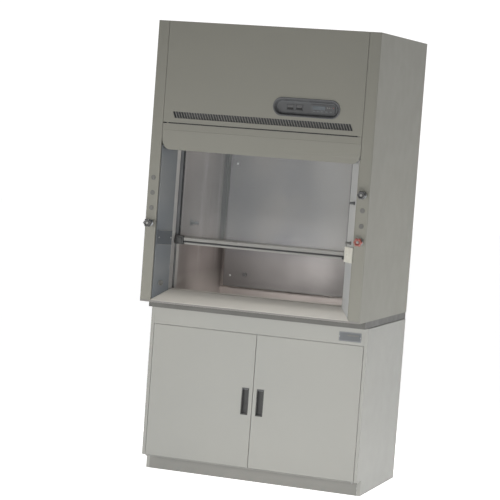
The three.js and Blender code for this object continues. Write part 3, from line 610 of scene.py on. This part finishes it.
bk = centre("baffle_knob")
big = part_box("baffle_knob")[1].x - bk.x
bm = bmesh.new()
loops = []
for depth, reach, lobe in (
    (0, 0.78, 0),
    (0.1, 0.9, 0.04),
    (0.75, 0.9, 0.06),
    (0.93, 0.8, 0.04),
    (1.0, 0.55, 0),
    (1.0, 0.1, 0),
):
    loop = []
    for t in circle(60):
        r = big * (reach + lobe * math.cos(FLUTES * t))
        loop.append((bk.x + r * math.cos(t), baf_lo.y - 0.0006 - 0.0192 * depth, bk.z + r * math.sin(t)))
    loops.append(loop)
rings(bm, loops)
piece("baffle_knob_grip", bm, BLACK, "baffle_knob")

# A dark strip between the sill's front lip and the worktop, as painted shade under the lip.
bm = bmesh.new()
lip_shade_lo = (sill_lo.x + 0.002, FRONT - 0.0009, BENCH + 0.0006)
slab(bm, lip_shade_lo, (sill_hi.x - 0.002, FRONT + 0.0010, BENCH + 0.0098))
piece("sill_lip_shade_strip", bm, WORKTOP, ROOT, bevel=0.0006)

# The splayed left jamb has its own directions: along it, and square to its face.
jl_lo, jl_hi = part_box("left_jamb")
along = Vector((jl_hi.x - jl_lo.x, jl_hi.y - jl_lo.y, 0)).normalized()
facing_in = Vector((along.y, -along.x, 0))


def on_left_jamb(share, z, lift):
    """A point a share of the way along the left jamb, lifted off its face."""
    start = Vector((jl_lo.x + 0.002, jl_lo.y, z))
    return start + (Vector((jl_hi.x, jl_hi.y, z)) - start) * share + facing_in * lift


# A folded lip closes the corner between each post and its jamb.
for side, word, finish in ((-1, "left", JAMB), (1, "right", SHELL)):
    post, jamb = -POST_IN + 0.0003, jl_lo.x + 0.0024
    face, fold, back = jl_lo.y, jl_lo.y + 0.0010, jl_lo.y + 0.0060
    inside = post + 0.0010
    outline = [(post, face), (jamb, face), (jamb, fold), (inside, fold), (inside, back), (post, back)]
    bm = bmesh.new()
    rings(bm, [[(-side * x, y, z) for x, y in outline] for z in (BENCH + 0.022, ap_lo.z + 0.02)])
    piece(f"jamb_lip_{word}", bm, finish, ROOT, smooth=False)

# A small round port with a raised ring, low on the left jamb.
bm = bmesh.new()
ring = [(0.0150, 0), (0.0152, 0.0022), (0.0135, 0.0036), (0.0108, 0.0034), (0.0100, 0.0012), (0.0, 0.0010)]
turned(bm, on_left_jamb(0.46, 1.035, 0.0006), facing_in, ring, 36)
piece("jamb_port_ring", bm, PLUG, ROOT)
HEM = ((0, 0), (0.0014, 0), (0.0014, 0.0016), (0, 0.0016))
plate_lo, plate_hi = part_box("left_cover_plate")
# The plate's hems take the pale index-cap colour as painted highlights along its top and bottom edges.
bm = bmesh.new()
for z in (plate_lo.z, plate_hi.z - 0.0016):
    ends = [on_left_jamb(share, z, 0.0052) for share in (0.06, 0.94)]
    rings(bm, [[end + facing_in * out + Vector((0, 0, up)) for out, up in HEM] for end in ends])
piece("cover_plate_hem_highlights", bm, INDEX, ROOT)
mid = on_left_jamb(0.52, (plate_lo.z + plate_hi.z) / 2, 0.0058)
screws("cover_plate_screws", [mid + along * s * 0.036 for s in (-1, 1)], facing_in, r=0.0035)
mirror_in = Vector((-facing_in.x, facing_in.y, 0))
screws("outlet_screw", [Vector((-mid.x, mid.y, mid.z)) + mirror_in * 0.0052], mirror_in, r=0.0032)

# Hose barbs on the outlets.
BARB_STEP = 0.006
noz = centre("left_nozzle")
noz_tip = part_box("left_nozzle")[1].x
bm = bmesh.new()
barbs = [(0.0072, 0)]
for i in range(4):
    barbs += [(0.0092, 0.001 + BARB_STEP * i), (0.0074, 0.006 + BARB_STEP * i)]
barbs += [(0.0062, 0.027), (0.0, 0.0272)]
turned(bm, (noz_tip - 0.026, noz.y, noz.z), (1, 0, 0), barbs)
wall_flange = [(0.019, 0), (0.019, 0.0035), (0.017, 0.0050), (0.008, 0.0056)]
turned(bm, (-WALL_X + 0.0004, noz.y, noz.z), (1, 0, 0), wall_flange, 32)
piece("nozzle_barb", bm, CHARCOAL, ROOT)
barbs = [(0.0058, -0.016), (0.0075, -0.014), (0.0060, -0.009), (0.0075, -0.008)]
barbs += [(0.0060, -0.003), (0.0070, -0.002), (0.0050, 0.002), (0.0, 0.0022)]
for node, finish in (("upper_right_outlet", CHARCOAL), ("lower_right_outlet", PLUG)):
    lo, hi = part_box(node)
    tip = Vector((lo.x + 0.0035, lo.y + 0.0035, (lo.z + hi.z) / 2))
    bm = bmesh.new()
    turned(bm, tip, mirror_in, barbs)
    piece(node + "_barb", bm, finish, ROOT)

# ---- doors: pulls with pale lips as painted highlights, bumpers and inner skins ------------------
BUMPER = [(0.0055, 0), (0.0055, 0.0012), (0.0035, 0.0022), (0.0, 0.0023)]
for side, word in ((-1, "left"), (1, "right")):
    lo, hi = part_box(f"{word}_door_pull")
    body = f"{word}_door"
    bm = bmesh.new()
    # The pale lips along the top of each pull are painted highlights on its rim.
    slab(bm, (lo.x + 0.0045, lo.y - 0.0016, hi.z - 0.0088), (hi.x - 0.0045, lo.y + 0.006, hi.z - 0.0058))
    slab(bm, (lo.x + 0.0010, lo.y - 0.0012, hi.z - 0.0022), (hi.x - 0.0010, lo.y + 0.001, hi.z - 0.0002))
    piece(f"{word}_pull_lip_highlight", bm, TRIM, body, bevel=0.0006)
    d_lo, d_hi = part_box(f"{word}_door")
    edge = d_hi.x - 0.03 if side < 0 else d_lo.x + 0.03
    bm = bmesh.new()
    for z in (d_lo.z + 0.03, d_hi.z - 0.03):
        turned(bm, (edge, d_hi.y - 0.0003, z), (0, 1, 0), BUMPER, 20)
    piece(f"{word}_door_bumpers", bm, RUBBER, body)
    bm = bmesh.new()
    slab(bm, (d_lo.x + 0.03, d_hi.y - 0.0002, d_lo.z + 0.03), (d_hi.x - 0.03, d_hi.y + 0.0012, d_hi.z - 0.03))
    piece(f"{word}_door_inner_skin", bm, CABINET, body, bevel=0.0005)

# ---- the blank plate on the cabinet rail: a sunk field, a strip and two rivets --------------------
tag_lo, tag_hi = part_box("nameplate_blank")
bm = bmesh.new()
field_lo = (tag_lo.x + 0.006, tag_lo.y - 0.0007, tag_lo.z + 0.006)
slab(bm, field_lo, (tag_hi.x - 0.006, tag_lo.y + 0.0004, tag_hi.z - 0.006))
piece("nameplate_field", bm, FIELD, ROOT, bevel=0.0004)
bm = bmesh.new()
strip_lo = (tag_lo.x + 0.045, tag_lo.y - 0.0012, tag_hi.z - 0.020)
slab(bm, strip_lo, (tag_hi.x - 0.014, tag_lo.y + 0.0002, tag_hi.z - 0.013))
piece("nameplate_strip", bm, PLUG, ROOT, bevel=0.0003)
places = [(x, tag_lo.y, (tag_lo.z + tag_hi.z) / 2) for x in (tag_lo.x + 0.0035, tag_hi.x - 0.0035)]
screws("nameplate_rivets", places, (0, -1, 0), r=0.0022)

# ---- shell fasteners and collar flange -----------------------------------------------------------
places = [(x, BACK, z) for x in (-HALF_W + 0.02, HALF_W - 0.02) for z in span(BENCH + 0.04, TOP - 0.04, 9)]
places += [(x, BACK, z) for x in span(-0.44, 0.44, 5) for z in (BENCH + 0.03, TOP - 0.03)]
screws("back_screws", places, (0, 1, 0), r=0.005)
places = [(x, BACK, z) for x in span(-0.56, 0.56, 6) for z in (0.04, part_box("cabinet_back")[1].z - 0.03)]
screws("cabinet_back_screws", places, (0, 1, 0), r=0.005)
places = [(x, y, TOP) for x in (-HALF_W + 0.03, HALF_W - 0.03) for y in span(FRONT + 0.06, BACK - 0.05, 6)]
screws("roof_screws", places, (0, 0, 1), r=0.005)
col = centre("exhaust_collar")
col_lo, col_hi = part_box("exhaust_collar")
COLLAR_R = (col_hi.x - col_lo.x) / 2


def hoop(bm, z0, z1, r0, r1):
    """A flat-sided ring about the collar's axis."""
    loops = []
    for r, z in ((r0, z0), (r1, z0), (r1, z1), (r0, z1), (r0, z0)):
        loops.append([(col.x + r * math.cos(t), col.y + r * math.sin(t), z) for t in circle(64)])
    rings(bm, loops, False)
    bmesh.ops.remove_doubles(bm, verts=bm.verts, dist=1e-6)


bm = bmesh.new()
hoop(bm, col_lo.z, col_hi.z, COLLAR_R - 0.002, COLLAR_R)
tube = piece("collar_tube", bm, STEEL, ROOT, bevel=0.0005)
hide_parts("exhaust_collar")
bm = bmesh.new()
hoop(bm, TOP + 0.0002, TOP + 0.0022, COLLAR_R + 0.0006, COLLAR_R + 0.026)
piece("collar_flange", bm, STEEL, ROOT, bevel=0.0006)
ring_r = COLLAR_R + 0.014
places = [(col.x + ring_r * math.cos(t), col.y + ring_r * math.sin(t), TOP + 0.0022) for t in circle(8)]
screws("collar_screws", places, (0, 0, 1), r=0.0045)

# ---- stage, light and camera ---------------------------------------------------------------------
floor = bmesh.new()
bmesh.ops.create_circle(floor, cap_ends=True, segments=96, radius=30.0)
mesh = bpy.data.meshes.new("pale_floor")
floor.to_mesh(mesh)
floor.free()
backdrop = bpy.data.objects.new("pale_floor", mesh)
bpy.context.scene.collection.objects.link(backdrop)
PAPER = Finish("studio_paper", (0.93, 0.93, 0.93), 0.85, Emission_Color=(1, 1, 1, 1), Emission_Strength=0.94)
PAPER.tone(0.006, 1.0, 2.0)
mesh.materials.append(PAPER.mat)

# White round the horizon, dim overhead, so that the ground reads white from every side.
world = bpy.data.worlds.new("studio")
bpy.context.scene.world = world
world.use_nodes = True
sky = world.node_tree
way = sky.nodes.new("ShaderNodeTexCoord")
split = sky.nodes.new("ShaderNodeSeparateXYZ")
sky.links.new(way.outputs["Generated"], split.inputs[0])
fade = sky.nodes.new("ShaderNodeMapRange")
for socket, number in (("From Min", 0.075), ("From Max", 0.16), ("To Min", 1.10), ("To Max", 0.05)):
    fade.inputs[socket].default_value = number
sky.links.new(split.outputs["Z"], fade.inputs["Value"])
sky.links.new(fade.outputs["Result"], sky.nodes["Background"].inputs["Strength"])
sky.nodes["Background"].inputs["Color"].default_value = (1.0, 1.0, 1.0, 1.0)


WHITE = (1.0, 1.0, 1.0)


def softbox(name, place, aim, size, watts, color, beam):
    """An area light that the camera doesn't see, aimed at a point."""
    data = bpy.data.lights.new(name, "AREA")
    data.shape = "RECTANGLE"
    data.size, data.size_y = size
    data.energy = watts
    data.color = color
    data.spread = math.radians(beam)
    obj = bpy.data.objects.new(name, data)
    obj.location = place
    obj.rotation_euler = (Vector(aim) - Vector(place)).to_track_quat("-Z", "Y").to_euler()
    obj.visible_camera = False
    bpy.context.scene.collection.objects.link(obj)


softbox("key", (-3.7, -4.5, 1.5), (0.1, -0.45, 0.15), (0.5, 0.5), 10.6, (1.0, 0.995, 0.97), 54)
softbox("low_fill", (1.5, -3.2, 0.45), (0.4, -0.45, 0.55), (1.6, 0.5), 12.4, WHITE, 100)
softbox("right_low", (3.0, 0.5, 0.3), (0.6, 0.1, 0.4), (1.4, 0.5), 8.6, WHITE, 110)
softbox("overhead", (0, 0.05, 5.4), (0, 0.05, 2.4), (1.6, 1.6), 15, WHITE, 44)
softbox("back_fill", (-1.6, 4.4, 1.3), (0, 0.5, 1.0), (2.0, 1.2), 14, WHITE, 70)
lamp = centre("lamp_cover")
below_lamp = (lamp.x, lamp.y, lamp.z - 0.01)
softbox("chamber", below_lamp, (0, lamp.y + 0.15, 1.0), (0.55, 0.12), 5.3, (1.0, 0.985, 0.96), 150)
over_bench = (-0.06, FRONT + 0.36, BENCH + 0.16)
low_baffle = (-0.26, FRONT + 0.95, BENCH + 0.26)
softbox("chamber_low", over_bench, low_baffle, (0.5, 0.06), 1.25, (1.0, 0.97, 0.95), 140)

# The camera that lines up with the photograph: a long lens, rolled a little.
camera = bpy.data.cameras.new("camera")
camera.sensor_width = 36.0
camera.lens = 139.83
camera.clip_end = 100.0
view = bpy.data.objects.new("camera", camera)
view.location = (3.2923, -9.9705, 1.9184)
view.rotation_euler = [math.radians(a) for a in (86.243, -4.203, 19.394)]
bpy.context.scene.collection.objects.link(view)
bpy.context.scene.camera = view
bpy.context.scene.view_settings.view_transform = "Standard"
